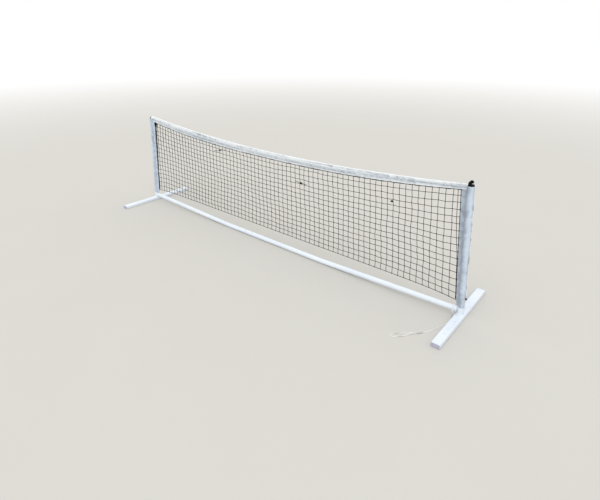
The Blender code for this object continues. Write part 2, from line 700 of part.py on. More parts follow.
def main():
    clear_scene()
    surfaces = {
        "steel": material("white_painted_steel", (0.84, 0.87, 0.93), 0.35),
        "bare_steel": material("zinc_plated_steel", (0.62, 0.63, 0.65), 0.4, 1.0),
        "rivet": material("aluminium_rivet", (0.75, 0.75, 0.77), 0.35, 1.0),
        "plug": material("grey_plug_plastic", (0.50, 0.50, 0.58), 0.5),
        "black": material("black_plastic", (0.012, 0.012, 0.014), 0.2),
        "fabric": material("white_tape_fabric", (0.86, 0.88, 0.92), 0.8),
        "twine": material("black_twine", (0.05, 0.05, 0.05), 0.8),
        "edge_line": material("dark_edge_cord", (0.03, 0.03, 0.03), 0.8),
        "white_cord": material("white_cord", (0.82, 0.82, 0.82), 0.8),
    }
    base = empty("base", (0, 0, 0))
    posts = {
        "left": empty("left_post_lift", (-POST_X, 0, FOOT_HEIGHT)),
        "right": empty("right_post_lift", (POST_X, 0, FOOT_HEIGHT)),
    }
    net = empty("net_lift", (-POST_X, 0, SOCKET_TOP))
    for side, label in ((-1, "left"), (1, "right")):
        make_foot(side, label, base, surfaces)
        make_socket(side, label, base, surfaces)
        make_outer_bar(side, label, base, surfaces)
        make_post(side, label, posts[label], surfaces)
        make_sleeve(side, label, net, surfaces)
        make_line_ends(side, label, net, surfaces)
    make_middle_bar(base, surfaces)
    make_hitch(base, surfaces)
    make_loose_cord(base, surfaces)
    make_tape(net, surfaces)
    make_net(net, surfaces)
    make_head_line(net, surfaces)


main()
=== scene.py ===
import json
import math

import bpy
import numpy as np
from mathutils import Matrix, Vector


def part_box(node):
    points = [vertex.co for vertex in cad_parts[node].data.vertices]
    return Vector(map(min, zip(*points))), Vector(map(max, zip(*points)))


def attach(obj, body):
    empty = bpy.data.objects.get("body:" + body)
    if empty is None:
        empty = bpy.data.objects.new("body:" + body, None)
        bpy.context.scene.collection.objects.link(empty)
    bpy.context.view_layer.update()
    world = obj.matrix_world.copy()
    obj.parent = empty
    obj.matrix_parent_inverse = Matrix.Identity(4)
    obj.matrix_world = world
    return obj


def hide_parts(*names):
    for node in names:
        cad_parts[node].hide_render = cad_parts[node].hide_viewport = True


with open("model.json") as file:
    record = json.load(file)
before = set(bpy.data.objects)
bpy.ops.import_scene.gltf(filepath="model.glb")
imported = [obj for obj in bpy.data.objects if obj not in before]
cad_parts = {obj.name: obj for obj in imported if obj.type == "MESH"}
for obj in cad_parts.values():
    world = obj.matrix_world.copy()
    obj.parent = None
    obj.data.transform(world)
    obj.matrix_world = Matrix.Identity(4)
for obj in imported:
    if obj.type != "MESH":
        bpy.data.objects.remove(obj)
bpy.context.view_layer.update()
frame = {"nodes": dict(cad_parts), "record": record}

SIDES = ((-1, "left"), (1, "right"))
BACK = np.array([0.0, 1.0, 0.0])  # square to the net, away from the photograph's view

# Places and sizes in the CAD frame, in metres
GAP = 0.0003  # between neighbours that don't touch
POST_X = (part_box("right_post")[0].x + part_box("right_post")[1].x) / 2
FOOT_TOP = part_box("right_foot")[1].z
SOCKET_RADIUS = (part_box("right_post_socket")[1].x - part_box("right_post_socket")[0].x) / 2
SLEEVE_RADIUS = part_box("right_sleeve")[1].x - POST_X
SLEEVE_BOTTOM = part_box("right_sleeve")[0].z
SLEEVE_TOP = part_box("right_sleeve")[1].z
FLANGE_WIDTH = 0.027
RIGHT_FLANGE_WIDTH = 0.0315
RIGHT_FLANGE_FOOT_WIDTH = 0.010
FLANGE_BOTTOM = SLEEVE_BOTTOM + 0.001
FLANGE_TOP = 0.770
EDGE_LINE_RADIUS = 0.0018
BOTTOM_LINE_RADIUS = 0.0018
NET_HALF = -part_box("net_mesh")[0].x
FOLD_RADIUS = 0.0043  # of the tape's fold over the head line
BAR_RADIUS = 0.016
BAR_MIDDLE_HEIGHT = BAR_RADIUS + GAP
BAR_END_HEIGHT = 0.048
BAR_JOINT_X = 0.500
BAR_SLOPE = (BAR_END_HEIGHT - BAR_MIDDLE_HEIGHT) / (POST_X - SOCKET_RADIUS - BAR_JOINT_X)

# The loose cord
CORD_RADIUS = 0.002
CORD_PITCH = 0.009  # of its braid
CORD_STEP = 0.0013  # between its rings
HITCH_X = 1.478
KNOT_PLACE = (1.371, -0.316)
KNOT_HEIGHT = 0.0054  # of its middle above the floor
KNOT_LENGTH = 0.013
KNOT_TURN = math.radians(46)  # of the way from the lead to the loop, from -X towards -Y

# The net
COLUMNS = 71
ROWS = 16
BUNCHED = 20  # columns at the left end that have a second and a third strand
TWINE_RADIUS = 0.0016
SLACK_RADIUS = 0.0018  # of the second and third strands
TOP_DROP = 0.0030  # from the tape's lower edge down to the columns' ends
SELVAGE_INSET = 0.0165  # of the netting's own edge from the right side line


def ramp(value, low, high):
    """From 0 at the low end to 1 at the high end, and level beyond them."""
    return np.clip((value - low) / (high - low), 0, 1)


def bell(distance, width):
    """1 at no distance, falling away to nothing."""
    return np.exp(-((distance / width) ** 2))


def tape_top(x):
    """The height of the tape's fold, which sags lowest a little right of the middle."""
    return 0.737 + 0.036 * (x - 0.080) ** 2


def tape_bottom(x):
    """The height of the tape's lower edge."""
    return 0.6855 + 0.087 * np.abs(x / NET_HALF) ** 2.4


def net_bottom(x):
    """The height of the net's bottom line, which drops at both ends."""
    return 0.121 - 0.016 * np.abs(x / NET_HALF) ** 12


def flange_width(side, z):
    """A sleeve flange's width. The right one narrows towards its foot."""
    share = ramp(np.asarray(z, float), FLANGE_BOTTOM, FLANGE_TOP)
    if side < 0:
        return FLANGE_WIDTH + 0 * share
    return RIGHT_FLANGE_FOOT_WIDTH + (RIGHT_FLANGE_WIDTH - RIGHT_FLANGE_FOOT_WIDTH) * share**0.8


def side_line_x(side, z):
    """Where the net's side line runs, along the edge of the sleeve's flange."""
    return side * (POST_X - SLEEVE_RADIUS - flange_width(side, z) - GAP - EDGE_LINE_RADIUS)


def net_across(share, z):
    """A place between the two side lines, from 0 at the left one to 1 at the right one."""
    return side_line_x(-1, z) + share * (side_line_x(1, z) - side_line_x(-1, z))


# -------- mesh tools


def value_noise(u, v, seed):
    """Smooth noise from -1 to 1 over a plane whose cells are one unit wide."""
    u, v = np.broadcast_arrays(np.asarray(u, float), np.asarray(v, float))
    iu, iv = np.floor(u).astype(np.int64), np.floor(v).astype(np.int64)
    fu, fv = u - iu, v - iv
    fu, fv = fu * fu * (3 - 2 * fu), fv * fv * (3 - 2 * fv)

    def corner(a, b):
        h = (a * 374761393 + b * 668265263 + seed * 974711) & 0xFFFFFFFF
        h = ((h ^ (h >> 13)) * 1274126177) & 0xFFFFFFFF
        return ((h ^ (h >> 16)) & 0xFFFF) / 32767.5 - 1

    near = corner(iu, iv) * (1 - fu) + corner(iu + 1, iv) * fu
    far = corner(iu, iv + 1) * (1 - fu) + corner(iu + 1, iv + 1) * fu
    return near * (1 - fv) + far * fv


def unit(vectors):
    return vectors / np.maximum(np.linalg.norm(vectors, axis=-1, keepdims=True), 1e-12)


def placed(name, data):
    """A new object in the scene."""
    made = bpy.data.objects.new(name, data)
    bpy.context.scene.collection.objects.link(made)
    return made


def mesh_piece(name, points, faces):
    """A smooth mesh as an object of its own."""
    mesh = bpy.data.meshes.new(name)
    mesh.from_pydata([tuple(p) for p in points], [], [tuple(f) for f in faces])
    mesh.validate()
    mesh.shade_smooth()
    return placed(name, mesh)


def joined(parts):
    """The points and faces of several meshes as one."""
    points, faces, base = [], [], 0
    for some, made in parts:
        points.append(np.asarray(some).reshape(-1, 3))
        faces += [tuple(i + base for i in f) for f in made]
        base += len(points[-1])
    return np.concatenate(points), faces


def tubes(paths, normals, radius, sides, closed=False):
    """Tubes along several paths with the same number of points. The normals point roughly across the paths,
    and the radius may vary by ring and side."""
    paths = np.asarray(paths, float)
    strands, rings = paths.shape[:2]
    if closed:
        along = np.roll(paths, -1, axis=1) - np.roll(paths, 1, axis=1)
    else:
        along = np.gradient(paths, axis=1)
    along = unit(along)
    first = unit(normals - (normals * along).sum(-1, keepdims=True) * along)
    second = np.cross(along, first)
    turn = 2 * math.pi * np.arange(sides) / sides
    radius = np.broadcast_to(radius, (strands, rings, sides))[..., None]
    spokes = np.cos(turn)[:, None] * first[:, :, None] + np.sin(turn)[:, None] * second[:, :, None]
    points = paths[:, :, None] + radius * spokes
    spans = rings if closed else rings - 1
    s, r, k = np.meshgrid(np.arange(strands), np.arange(spans), np.arange(sides), indexing="ij")
    after, nxt = (k + 1) % sides, (r + 1) % rings

    def corner(ring, side):
        return ((s * rings + ring) * sides + side).ravel()

    quads = np.stack([corner(r, k), corner(r, after), corner(nxt, after), corner(nxt, k)], axis=1)
    faces = [tuple(q) for q in quads.tolist()]
    if not closed:
        for strand in range(strands):
            start = strand * rings * sides
            end = start + (rings - 1) * sides
            faces.append(tuple(range(start + sides - 1, start - 1, -1)))
            faces.append(tuple(range(end, end + sides)))
    return points.reshape(-1, 3), faces


def carried_normals(path, first):
    """Normals carried along a line with no twist, from about the first one."""
    along = unit(np.gradient(path, axis=0))
    normal = np.array(first, float)
    made = []
    for t in along:
        normal = normal - normal.dot(t) * t
        normal /= np.linalg.norm(normal)
        made.append(normal)
    return np.array(made)


def distances(path):
    """How far along a line each of its points is."""
    return np.concatenate([[0], np.cumsum(np.linalg.norm(np.diff(path, axis=0), axis=1))])


def even(path, step):
    """The same line with points about a step apart, and how far along it each one is."""
    path = np.asarray(path, float)
    lengths = distances(path)
    at = np.linspace(0, lengths[-1], int(lengths[-1] / step) + 2)
    return np.stack([np.interp(at, lengths, path[:, k]) for k in range(3)], axis=1), at


def one_tube(path, first, radius, sides):
    """A tube along one line, whose normals are carried along from the first one."""
    return tubes(path[None], carried_normals(path, first)[None], radius, sides)


def twisted(path, radius, pitch):
    """A line laid from three strands."""
    sides = 9
    path, at = even(path, pitch / 5)
    turn = 2 * math.pi * np.arange(sides) / sides
    phase = 1.5 * (turn[None] - 2 * math.pi * at[:, None] / pitch)
    size = radius * (0.80 + 0.22 * np.abs(np.cos(phase)))
    return one_tube(path, BACK, size, sides)


def braided(path, first, step=CORD_STEP):
    """The loose cord's round braid: strands that wind both ways and bulge where they pass over."""
    sides = 16
    path, at = even(path, step)
    turn = 2 * math.pi * np.arange(sides) / sides
    run = 2 * math.pi * at[:, None] / CORD_PITCH
    weave = np.cos(4 * turn[None] + run) * np.cos(4 * turn[None] - run)
    size = CORD_RADIUS * (0.955 + 0.05 * weave)
    return one_tube(path, first, size, sides)


def smooth_route(points, steps):
    """Points on a smooth curve through the route's own points, with so many steps from each to the next."""
    points = np.array(points, float)
    lengths = np.linalg.norm(np.diff(points, axis=0), axis=1)
    slopes = np.diff(points, axis=0) / lengths[:, None]
    tangents = unit(np.vstack([slopes[:1], slopes[:-1] + slopes[1:], slopes[-1:]]))
    route = []
    for i, length in enumerate(lengths):
        for t in np.arange(steps) / steps:
            route.append(
                (2 * t**3 - 3 * t**2 + 1) * points[i]
                + (t**3 - 2 * t**2 + t) * length * tangents[i]
                + (3 * t**2 - 2 * t**3) * points[i + 1]
                + (t**3 - t**2) * length * tangents[i + 1]
            )
    route.append(points[-1])
    return np.array(route)


def cloth_grid(name, points):
    """A sheet through a grid of points, with UVs in metres and no thickness yet."""
    rows, across = points.shape[:2]
    r, k = np.meshgrid(np.arange(rows - 1), np.arange(across - 1), indexing="ij")
    first = r * across + k
    quads = np.stack([first, first + 1, first + across + 1, first + across], axis=-1)
    made = mesh_piece(name, points.reshape(-1, 3), quads.reshape(-1, 4).tolist())
    down = distances(points[:, across // 2])
    over = distances(points[rows // 2])
    uv = np.stack(np.broadcast_arrays(down[:, None], over[None]), axis=-1).reshape(-1, 2)
    layer = made.data.uv_layers.new(name="cloth")
    corners = np.empty(len(made.data.loops), np.int32)
    made.data.loops.foreach_get("vertex_index", corners)
    layer.data.foreach_set("uv", uv[corners].astype(np.float32).ravel())
    return made


def painted_shade_attribute(piece, values):
    """How much painted shade each point gets, for the cloth's material."""
    layer = piece.data.attributes.new("fold", "FLOAT", "POINT")
    layer.data.foreach_set("value", np.asarray(values, np.float32).ravel())


def thicken(piece, thickness):
    modifier = piece.modifiers.new("thickness", "SOLIDIFY")
    modifier.thickness = thickness
    modifier.offset = 0.0
    modifier.use_even_offset = False


def stitches(path, outward, length, radius):
    """Thread stitches: pointed lozenges end to end along a line, lying on the cloth."""
    middle = (path[1:] + path[:-1]) / 2
    along = unit(path[1:] - path[:-1])
    up = np.broadcast_to(np.asarray(outward, float), path.shape)
    up = unit((up[1:] + up[:-1]) / 2)
    side = unit(np.cross(along, up))
    half = length / 2
    corners = [
        middle - half * along - 0.4 * radius * up,
        middle + side * radius,
        middle + up * radius,
        middle - side * radius,
        middle - up * radius,
        middle + half * along - 0.4 * radius * up,
    ]
    points = np.stack(corners, axis=1).reshape(-1, 3)
    pattern = [(0, 2, 1), (0, 3, 2), (0, 4, 3), (0, 1, 4), (5, 1, 2), (5, 2, 3), (5, 3, 4), (5, 4, 1)]
    return points, [tuple(6 * i + c for c in f) for i in range(len(middle)) for f in pattern]


# -------- materials


def feed(tree, socket, value):
    """Links another socket into this one, or gives it a plain value."""
    if isinstance(value, bpy.types.NodeSocket):
        tree.links.new(value, socket)
    else:
        socket.default_value = value


def node(tree, kind, settings=None, **inputs):
    made = tree.nodes.new(kind)
    for key, value in (settings or {}).items():
        setattr(made, key, value)
    for key, value in inputs.items():
        feed(tree, made.inputs[key.replace("_", " ")], value)
    return made


def mixed(tree, factor, a, b):
    """A colour between a and b."""
    made = node(tree, "ShaderNodeMix", {"data_type": "RGBA"})
    feed(tree, made.inputs[0], factor)
    for index, value in ((6, a), (7, b)):
        feed(tree, made.inputs[index], (*value, 1.0) if isinstance(value, tuple) else value)
    return made.outputs[2]


def ranged(tree, value, low, high, to_low=0.0, to_high=1.0):
    made = node(tree, "ShaderNodeMapRange", {"interpolation_type": "SMOOTHSTEP"}, Value=value,
                From_Min=low, From_Max=high, To_Min=to_low, To_Max=to_high)
    return made.outputs[0]


def noise(tree, where, scale, detail=3.0, stretch=(1.0, 1.0, 1.0)):
    moved = node(tree, "ShaderNodeMapping", Vector=where, Scale=stretch).outputs[0]
    return node(tree, "ShaderNodeTexNoise", Vector=moved, Scale=scale, Detail=detail).outputs[0]


def maths(tree, operation, a, b):
    made = node(tree, "ShaderNodeMath", {"operation": operation})
    feed(tree, made.inputs[0], a)
    feed(tree, made.inputs[1], b)
    return made.outputs[0]


def times(tree, a, b):
    return maths(tree, "MULTIPLY", a, b)


def bumped(tree, height, strength, distance, before=None):
    made = node(tree, "ShaderNodeBump", Height=height, Strength=strength, Distance=distance)
    if before is not None:
        tree.links.new(before, made.inputs["Normal"])
    return made.outputs[0]


def new_material(name, roughness=0.5, metallic=0.0, **sockets):
    made = bpy.data.materials.new(name)
    made.use_nodes = True
    tree = made.node_tree
    shader = tree.nodes["Principled BSDF"]
    shader.inputs["Roughness"].default_value = roughness
    shader.inputs["Metallic"].default_value = metallic
    for key, value in sockets.items():
        shader.inputs[key.replace("_", " ")].default_value = value
    where = tree.nodes.new("ShaderNodeTexCoord").outputs["Object"]
    return made, tree, shader, where


def finish_material(tree, shader, colour, roughness=None, normal=None):
    for value, name in ((colour, "Base Color"), (roughness, "Roughness"), (normal, "Normal")):
        if value is not None:
            tree.links.new(value, shader.inputs[name])


def painted_steel():
    """Gloss white powder coat with a cool tint, a fine orange peel and light scuffs."""
    made, tree, shader, where = new_material("white_powder_coat", Specular_IOR_Level=0.5, Coat_Weight=0.15)
    broad = ranged(tree, noise(tree, where, 3.0, 2.0), 0.35, 0.65)
    colour = mixed(tree, broad, (0.74, 0.81, 0.90), (0.80, 0.86, 0.935))
    scuff = ranged(tree, noise(tree, where, 55.0, 6.0, (0.3, 1.0, 1.0)), 0.66, 0.74)
    colour = mixed(tree, times(tree, scuff, 0.45), colour, (0.42, 0.43, 0.46))
    low = node(tree, "ShaderNodeSeparateXYZ", Vector=where).outputs[2]
    dust = times(tree, ranged(tree, low, 0.012, 0.0), noise(tree, where, 30.0))
    colour = mixed(tree, times(tree, dust, 0.5), colour, (0.50, 0.49, 0.47))
    rough = ranged(tree, noise(tree, where, 25.0, 4.0), 0.3, 0.7, 0.26, 0.42)
    peel = bumped(tree, noise(tree, where, 420.0, 2.0), 0.06, 0.0006)
    finish_material(tree, shader, colour, rough, bumped(tree, scuff, 0.15, 0.0003, peel))
    return made


def zinc():
    made, tree, shader, where = new_material("zinc_plate", metallic=1.0)
    spangle = node(tree, "ShaderNodeTexVoronoi", Vector=where, Scale=260.0).outputs["Distance"]
    colour = mixed(tree, spangle, (0.52, 0.53, 0.55), (0.70, 0.71, 0.73))
    drawn = noise(tree, where, 300.0, 3.0, (0.05, 1.0, 1.0))
    rough = ranged(tree, drawn, 0.3, 0.7, 0.3, 0.5)
    finish_material(tree, shader, colour, rough, bumped(tree, drawn, 0.1, 0.0002))
    return made


def rivet_metal():
    made, tree, shader, where = new_material("spun_aluminium", metallic=1.0)
    grain = noise(tree, where, 1500.0, 3.0)
    colour = mixed(tree, grain, (0.66, 0.66, 0.68), (0.80, 0.80, 0.82))
    rough = ranged(tree, grain, 0.3, 0.7, 0.28, 0.45)
    finish_material(tree, shader, colour, rough, bumped(tree, grain, 0.2, 0.0001))
    return made


def plug_plastic():
    """Grey moulded end plug with a spark-eroded grain."""
    made, tree, shader, where = new_material("grey_moulded_plastic")
    broad = noise(tree, where, 60.0)
    colour = mixed(tree, broad, (0.40, 0.40, 0.52), (0.50, 0.50, 0.62))
    grain = noise(tree, where, 1400.0, 2.0)
    rough = ranged(tree, grain, 0.3, 0.7, 0.42, 0.6)
    finish_material(tree, shader, colour, rough, bumped(tree, grain, 0.25, 0.0002))
    return made


def black_plastic():
    made, tree, shader, where = new_material("gloss_black_plastic", Specular_IOR_Level=0.08)
    broad = noise(tree, where, 90.0)
    colour = mixed(tree, broad, (0.001, 0.001, 0.0015), (0.004, 0.004, 0.005))
    rough = ranged(tree, noise(tree, where, 500.0, 5.0), 0.35, 0.75, 0.16, 0.34)
    finish_material(tree, shader, colour, rough, bumped(tree, broad, 0.08, 0.0008))
    return made


def cloth(name, light, shade):
    """Woven tape: a plain weave on the sheet's own UVs, a faint mottle and cool painted shade, as much as the
    sheet's fold attribute asks for.
    """
    made, tree, shader, where = new_material(name, roughness=0.85, Sheen_Weight=0.25, Sheen_Roughness=0.5)
    uv = node(tree, "ShaderNodeUVMap", {"uv_map": "cloth"}).outputs[0]
    across = node(tree, "ShaderNodeTexWave", {"bands_direction": "X"}, Vector=uv, Scale=300.0).outputs["Fac"]
    along = node(tree, "ShaderNodeTexWave", {"bands_direction": "Y"}, Vector=uv, Scale=300.0).outputs["Fac"]
    weave = maths(tree, "MAXIMUM", across, along)
    # Painted shade: the fold attribute says how far each point goes from the lit colour to the shade colour,
    # with a faint random mottle on top.
    fold = node(tree, "ShaderNodeAttribute", {"attribute_name": "fold"}).outputs["Fac"]
    mottle = ranged(tree, noise(tree, where, 45.0, 4.0, (0.35, 1.0, 1.0)), 0.32, 0.68)
    depth = maths(tree, "ADD", times(tree, fold, 0.85), times(tree, mottle, 0.15))
    colour = mixed(tree, depth, light, shade)
    colour = mixed(tree, times(tree, weave, 0.06), colour, tuple(0.75 * c for c in shade))
    creased = bumped(tree, noise(tree, where, 160.0, 5.0, (0.5, 1.0, 1.0)), 0.35, 0.0012)
    finish_material(tree, shader, colour, None, bumped(tree, weave, 0.3, 0.0002, creased))
    return made


def thread():
    made, tree, shader, where = new_material("sewing_thread", roughness=0.7, Sheen_Weight=0.2)
    ply = noise(tree, where, 1800.0, 2.0)
    colour = mixed(tree, ply, (0.62, 0.66, 0.74), (0.80, 0.83, 0.88))
    finish_material(tree, shader, colour, None, bumped(tree, ply, 0.4, 0.0001))
    return made


def twine_material(name, dark, light, scale=900.0):
    """Laid polyethylene twine: a dark base, paler worn fibres and a fine fibre relief."""
    made, tree, shader, where = new_material(name, roughness=0.7, Specular_IOR_Level=0.25)
    fibre = noise(tree, where, scale, 4.0)
    worn = ranged(tree, noise(tree, where, 18.0, 3.0), 0.4, 0.75)
    colour = mixed(tree, ranged(tree, fibre, 0.4, 0.75), dark, light)
    colour = mixed(tree, times(tree, worn, 0.35), colour, tuple(1.6 * c for c in light))
    rough = ranged(tree, fibre, 0.3, 0.7, 0.5, 0.8)
    finish_material(tree, shader, colour, rough, bumped(tree, fibre, 0.5, 0.0003))
    return made


def white_rope():
    """Braided white cord, greyed and scuffed in stretches where it has been handled."""
    made, tree, shader, where = new_material("white_braided_cord", roughness=0.8, Sheen_Weight=0.3)
    fibre = noise(tree, where, 1200.0, 3.0)
    soiled = ranged(tree, noise(tree, where, 14.0, 2.0), 0.50, 0.66)
    colour = mixed(tree, fibre, (0.78, 0.78, 0.77), (0.90, 0.90, 0.89))
    colour = mixed(tree, times(tree, soiled, 0.75), colour, (0.20, 0.195, 0.19))
    finish_material(tree, shader, colour, None, bumped(tree, fibre, 0.5, 0.0003))
    return made


FLOOR_TONE = (0.60, 0.585, 0.545)
FLOOR_FAR = (0.86, 0.86, 0.86)
FLOOR_FADE = (3.5, 16.0)  # distances from the middle over which the tone pales to the far one


def floor_material():
    """Matt paper, a pale warm grey that pales evenly with distance from the middle."""
    made, tree, shader, where = new_material("studio_floor", roughness=0.95, Specular_IOR_Level=0.0)
    tone = mixed(tree, times(tree, noise(tree, where, 1.5, 2.0), 0.06), FLOOR_TONE, FLOOR_FAR)
    away = node(tree, "ShaderNodeVectorMath", {"operation": "LENGTH"}, Vector=where).outputs["Value"]
    finish_material(tree, shader, mixed(tree, ranged(tree, away, *FLOOR_FADE), tone, FLOOR_FAR))
    return made


steel = painted_steel()
plastic = black_plastic()
tape_cloth = cloth("white_tape_weave", (0.88, 0.92, 0.955), (0.32, 0.38, 0.44))
sleeve_cloth = cloth("white_sleeve_weave", (0.635, 0.735, 0.86), (0.29, 0.335, 0.395))
sewing = thread()
black_twine = twine_material("black_net_twine", (0.003, 0.003, 0.003), (0.020, 0.020, 0.019))
edge_twine = twine_material("black_edge_line", (0.005, 0.005, 0.006), (0.028, 0.028, 0.03), 700.0)
cord_white = white_rope()
CAD_MATERIALS = {
    "white_steel": steel,
    "zinc_steel": zinc(),
    "rivet_aluminium": rivet_metal(),
    "grey_plastic": plug_plastic(),
    "black_plastic": plastic,
    "white_fabric": sleeve_cloth,
    "black_twine": black_twine,
    "black_cord": edge_twine,
    "white_cord": cord_white,
}


def dressed(piece, surface, body, slot, *stands_for):
    """Gives a piece its material and its body, and hides the CAD nodes it stands for. The slot is not used.
    """
    piece.data.materials.append(surface)
    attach(piece, body)
    if stands_for:
        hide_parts(*stands_for)
    return piece


def twine_piece(name, points, faces, *stands_for):
    """A piece of the net's black twine."""
    return dressed(mesh_piece(name, points, faces), black_twine, "net", "black_twine", *stands_for)


# -------- camera


EYE = (2.345, -2.435, 1.628)
YAW = -0.695757  # radians, from +Y towards +X
PITCH = 0.223159  # radians, down from level
SENSOR = 36.0  # mm
LENS = 27.9966  # mm
LENS_SHIFT = -0.19166667  # of the picture's width

camera_data = bpy.data.cameras.new("camera")
camera = placed("camera", camera_data)
bpy.context.scene.camera = camera
look = Vector((math.sin(YAW) * math.cos(PITCH), math.cos(YAW) * math.cos(PITCH), -math.sin(PITCH)))
camera.location = EYE
camera.rotation_mode = "QUATERNION"
camera.rotation_quaternion = look.to_track_quat("-Z", "Y")
camera_data.sensor_width = SENSOR
camera_data.lens = LENS
camera_data.shift_y = LENS_SHIFT
camera_data.clip_end = 200.0


# -------- the loose cord


def bar_axis(x):
    """A place on the axis of the crossbar's right outer tube."""
    return np.array([x, 0.0, BAR_MIDDLE_HEIGHT + (x - BAR_JOINT_X) * BAR_SLOPE])


HITCH_KNOT = bar_axis(HITCH_X) + np.array([0.0, -0.0190, -0.0125])  # the half knot under the bar's front


def by_knot(out, sideways, height):
    """A place by the knot, so far along the cord past its middle and so far to its left."""
    along = (-math.cos(KNOT_TURN), -math.sin(KNOT_TURN))
    across = (math.sin(KNOT_TURN), -math.cos(KNOT_TURN))
    x, y = KNOT_PLACE
    return (x + out * along[0] + sideways * across[0], y + out * along[1] + sideways * across[1], height)


def cord_points():
    """The route from under the hitch's knot, down to the floor, through the knot and round the loop."""
    x, y, z = HITCH_KNOT
    floor = CORD_RADIUS + 0.0001
    under = z - 0.0062 - GAP
    height = KNOT_HEIGHT
    reach = KNOT_LENGTH / 2 + 2 * GAP
    apart = CORD_RADIUS + GAP
    return [
        (x, y, under),
        (x + 0.0004, y - 0.0010, under - 0.0090),
        (x + 0.0014, y - 0.0060, floor + 0.0065),
        (x + 0.0030, y - 0.0150, floor + 0.0010),
        (1.4835, -0.0500, floor),
        (1.4850, -0.0780, floor),
        (1.4810, -0.1060, floor),
        (1.4730, -0.1330, floor),
        (1.4630, -0.1620, floor),
        (1.4440, -0.2120, floor),
        (1.4210, -0.2580, floor),
        (1.3970, -0.2910, floor),
        by_knot(-reach - 0.010, 0, height - 0.0012),
        by_knot(-reach, 0, height),
        by_knot(reach, -apart, height),
        by_knot(reach + 0.012, -apart - 0.002, floor + 0.0006),
        by_knot(0.042, -0.0085, floor),
        by_knot(0.084, -0.0120, floor),
        by_knot(0.108, -0.0115, floor),
        by_knot(0.1205, 0.0000, floor),
        by_knot(0.1100, 0.0125, floor),
        by_knot(0.084, 0.0155, floor),
        by_knot(0.042, 0.0110, floor),
        by_knot(reach + 0.012, apart + 0.002, floor + 0.0006),
        by_knot(reach, apart, height),
    ]


def make_loop_knot():
    """The knot: the loop's two legs and the lead, bound in three turns."""
    t = np.linspace(0, 1, 120)
    turn = 2 * math.pi * 3.2 * t
    out = (t - 0.5) * (KNOT_LENGTH - 2.4 * CORD_RADIUS) + 0.0006 * np.sin(6 * math.pi * t)
    sideways = 0.0034 * np.cos(turn) * (1 + 0.10 * np.sin(2 * turn))
    bound = np.stack(by_knot(out, sideways, KNOT_HEIGHT + 0.0031 * np.sin(turn)), axis=1)
    points, faces = braided(bound, (0.0, 0.0, 1.0), 0.0011)
    return dressed(mesh_piece("loop_knot", points, faces), cord_white, "base", "white_cord", "tie_knot")


def make_hitch():
    """The hitch: two turns round the crossbar's end and a half knot under its front."""
    x, _, z = bar_axis(HITCH_X)
    tilt = math.atan(BAR_SLOPE)
    ring = BAR_RADIUS + GAP + 0.93 * CORD_RADIUS
    t = np.linspace(0, 1, 90)
    turn = math.radians(215) + 2 * math.pi * 2.08 * t
    along = (t - 0.5) * 0.0042
    lift = ring * np.sin(turn)
    turns = np.stack([
        x + along * math.cos(tilt) - lift * math.sin(tilt),
        ring * np.cos(turn),
        z + lift * math.cos(tilt) + along * math.sin(tilt),
    ], axis=1)
    t = np.linspace(0, 2 * math.pi, 60, endpoint=False)
    trefoil = np.stack([
        0.0016 * (np.sin(t) + 1.3 * np.sin(2 * t)),
        0.0013 * np.sin(3 * t),
        0.0019 * (np.cos(t) - 1.3 * np.cos(2 * t)),
    ], axis=1)
    parts = [
        braided(turns, (1.0, 0.0, 0.0), 0.0012),
        tubes((HITCH_KNOT + trefoil)[None], unit(-trefoil)[None] + 0.01, 0.0017, 10, closed=True),
    ]
    hitch = mesh_piece("crossbar_hitch", *joined(parts))
    return dressed(hitch, cord_white, "base", "white_cord", "cord_hitch")


def make_cord():
    route, _ = even(smooth_route(cord_points(), 8), CORD_STEP)
    points, faces = braided(route, (1.0, 0.0, 0.0))
    lead = mesh_piece("loose_cord", points, faces)
    dressed(lead, cord_white, "base", "white_cord", "tie_cord", "tie_cord_loop")
    knot = make_loop_knot()
    hitch = make_hitch()


make_cord()


# -------- the net


def net_nodes():
    """Where the net's twines cross: columns of even width, and rows that droop and wander a little."""
    i = np.arange(COLUMNS + 1)[:, None]
    j = np.arange(ROWS + 1)[None]
    share = j / ROWS
    low = net_bottom(net_across(i / COLUMNS, net_bottom(NET_HALF)))
    high = tape_bottom(net_across(i / COLUMNS, FLANGE_TOP)) + 0.006
    z = low + (high - low) * share
    x = net_across(i / COLUMNS, z)
    edge = np.minimum(1, np.minimum(i, COLUMNS - i) / 2.0)
    inner = edge * np.minimum(1, np.minimum(j, ROWS - j) / 1.5)
    wander = value_noise(x / 0.35, share * 3.0, 11) * 0.0055 + value_noise(x / 0.11, share * 7.0, 12) * 0.0026
    z = z + inner * (wander + 0.0018 * value_noise(i, j, 13))
    lean = value_noise(x / 0.28, share * 4.0, 14) * 0.0040 + value_noise(i, j, 15) * 0.0022
    x = x + inner * lean
    billow = value_noise(x / 0.5, share * 2.2, 16) * 0.0075 + value_noise(x / 0.16, share * 5.0, 17) * 0.0030
    y = inner * billow
    return np.stack(np.broadcast_arrays(x, y, z), axis=-1)


def between(places, slack, seed):
    """Paths through rows of places, each span bowed a little to one side."""
    steps = 3
    strands, count = places.shape[:2]
    spans = places[:, 1:] - places[:, :-1]
    k = np.arange(strands)[:, None]
    m = np.arange(count - 1)[None]
    bow = np.stack([
        value_noise(k, m, seed) * slack,
        value_noise(k, m, seed + 1) * slack,
        value_noise(k, m, seed + 2) * slack * 0.8 - slack * 0.5,
    ], axis=-1)
    points = []
    for step in range(steps):
        t = step / steps
        points.append(places[:, :-1] + t * spans + 4 * t * (1 - t) * bow)
    path = np.stack(points, axis=2).reshape(strands, -1, 3)
    return np.concatenate([path, places[:, -1:]], axis=1)


